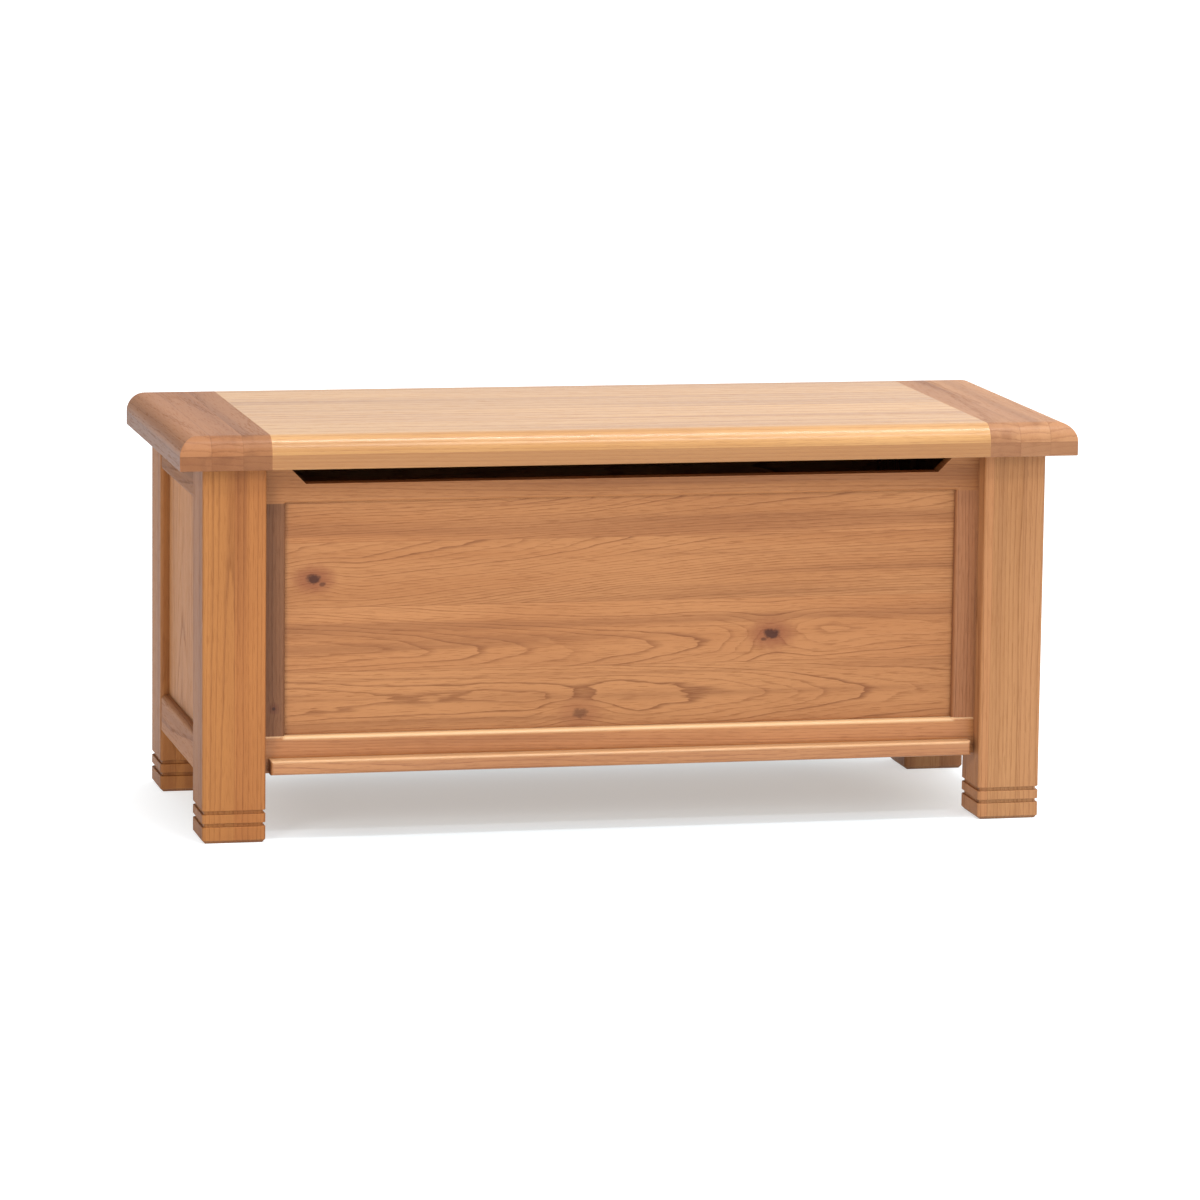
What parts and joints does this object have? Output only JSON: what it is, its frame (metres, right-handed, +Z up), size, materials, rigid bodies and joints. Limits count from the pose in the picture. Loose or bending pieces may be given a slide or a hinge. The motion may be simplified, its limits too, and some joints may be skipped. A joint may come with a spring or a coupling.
{
  "type": "blanket chest",
  "caption": "Low oak storage chest on square legs with framed panels, a finger recess and a thick round-edged lid that lifts on back hinges.",
  "frame": {"origin": "on the ground, under the middle of the box that holds the closed chest, hinge barrels included", "axes": "+X along the length, the front with the finger recess faces -Y, +Z up"},
  "size_m": [1.118, 0.4534, 0.5],
  "materials": {
    "oak_leg": "oiled oak, satin lacquer, warm honey orange",
    "oak_frame": "oiled oak, satin lacquer, mid brown",
    "oak_panel": "oak veneer, satin lacquer, horizontal cathedral grain with knots",
    "oak_lid_board": "oiled oak, satin lacquer, pale honey",
    "oak_end_cap": "oiled oak, satin lacquer, browner than the boards",
    "oak_base_strip": "oiled oak, satin lacquer, reddish",
    "oak_floor": "oak boards, thin lacquer",
    "softwood_bearer": "planed softwood, unfinished",
    "hardware_leaf": "brass plated, lightly brushed",
    "hardware_pin": "brass plated pin",
    "hardware_screw": "zinc plated countersunk wood screws"
  },
  "bodies": {
    "carcass": {"back_bearer_screws": "hardware_screw", "back_bottom_rail": "oak_frame", "back_floor_bearer": "softwood_bearer", "back_left_leg": "oak_leg", "back_left_stile": "oak_frame", "back_panel": "oak_panel", "back_right_leg": "oak_leg", "back_right_stile": "oak_frame", "back_top_rail": "oak_frame", "floor_board_1": "oak_floor", "floor_board_2": "oak_floor", "floor_board_3": "oak_floor", "floor_board_4": "oak_floor", "front_base_strip": "oak_base_strip", "front_bearer_screws": "hardware_screw", "front_bottom_rail": "oak_frame", "front_floor_bearer": "softwood_bearer", "front_left_leg": "oak_leg", "front_left_stile": "oak_frame", "front_panel": "oak_panel", "front_right_leg": "oak_leg", "front_right_stile": "oak_frame", "front_top_rail": "oak_frame", "left_bearer_screws": "hardware_screw", "left_bottom_rail": "oak_frame", "left_floor_bearer": "softwood_bearer", "left_hinge_pin": "hardware_pin", "left_hinge_rail_leaf": "hardware_leaf", "left_hinge_rail_screws": "hardware_screw", "left_panel": "oak_panel", "left_top_rail": "oak_frame", "right_bearer_screws": "hardware_screw", "right_bottom_rail": "oak_frame", "right_floor_bearer": "softwood_bearer", "right_hinge_pin": "hardware_pin", "right_hinge_rail_leaf": "hardware_leaf", "right_hinge_rail_screws": "hardware_screw", "right_panel": "oak_panel", "right_top_rail": "oak_frame"},
    "lid": {"left_hinge_lid_leaf": "hardware_leaf", "left_hinge_lid_screws": "hardware_screw", "lid_board_1": "oak_lid_board", "lid_board_2": "oak_lid_board", "lid_board_3": "oak_lid_board", "lid_board_4": "oak_lid_board", "lid_left_end_cap": "oak_end_cap", "lid_right_end_cap": "oak_end_cap", "right_hinge_lid_leaf": "hardware_leaf", "right_hinge_lid_screws": "hardware_screw"}
  },
  "joints": [
    {"name": "lid_hinge", "type": "hinge", "parent": "carcass", "child": "lid", "pos_m": [0, 0.2232, 0.4592], "axis": [-1, 0, 0], "range_deg": [0, 95]}
  ]
}
